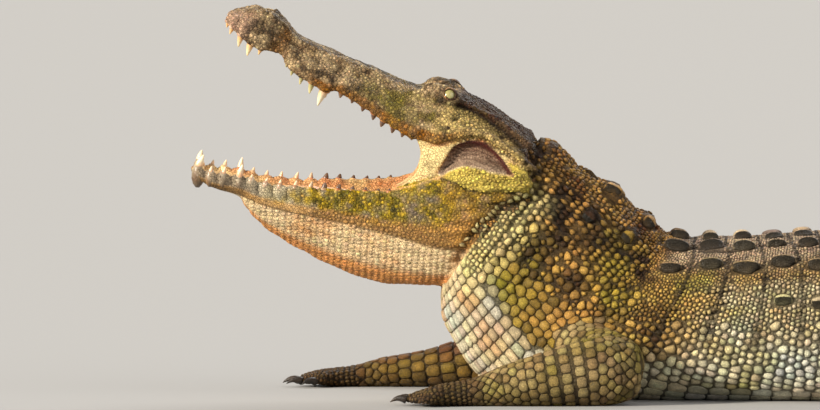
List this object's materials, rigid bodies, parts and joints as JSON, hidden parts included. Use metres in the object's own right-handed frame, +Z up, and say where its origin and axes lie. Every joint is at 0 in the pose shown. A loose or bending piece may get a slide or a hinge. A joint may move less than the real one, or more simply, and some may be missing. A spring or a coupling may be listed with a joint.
{
  "type": "crocodile model",
  "caption": "Life-size still model of a Nile crocodile lying on its belly with its head raised and jaws wide open, tail trailing on the floor.",
  "frame": {"origin": "on the floor plane, on the flat under the belly just behind the shoulders, on the straight body's middle line", "axes": "the animal faces -X and its body runs back along +X; its left side is towards -Y; +Z is up"},
  "size_m": [3.3085, 1.0574, 0.5705],
  "materials": {
    "hide": "scaly, matte",
    "throat_hide": "finely scaled, matte",
    "mouth_flesh": "moist, satin",
    "claw": "worn horn",
    "eye": "wet gloss"
  },
  "bodies": {
    "root": {"neck": "hide", "trunk": "hide", "tail_1": "hide", "tail_2": "hide", "tail_3": "hide", "tail_4": "hide", "tail_5": "hide", "head_upper": "hide", "upper_arm_left": "hide", "forearm_left": "hide", "hand_left": "hide", "thigh_left": "hide", "shank_left": "hide", "foot_left": "hide", "upper_arm_right": "hide", "forearm_right": "hide", "hand_right": "hide", "thigh_right": "hide", "shank_right": "hide", "foot_right": "hide", "jaw_lower": "throat_hide", "mouth_lining": "mouth_flesh", "tongue": "mouth_flesh", "claw_finger_1_left": "claw", "claw_finger_2_left": "claw", "claw_finger_3_left": "claw", "claw_toe_1_left": "claw", "claw_toe_2_left": "claw", "claw_toe_3_left": "claw", "claw_finger_1_right": "claw", "claw_finger_2_right": "claw", "claw_finger_3_right": "claw", "claw_toe_1_right": "claw", "claw_toe_2_right": "claw", "claw_toe_3_right": "claw", "eye_left": "eye", "eye_right": "eye"}
  },
  "joints": []
}
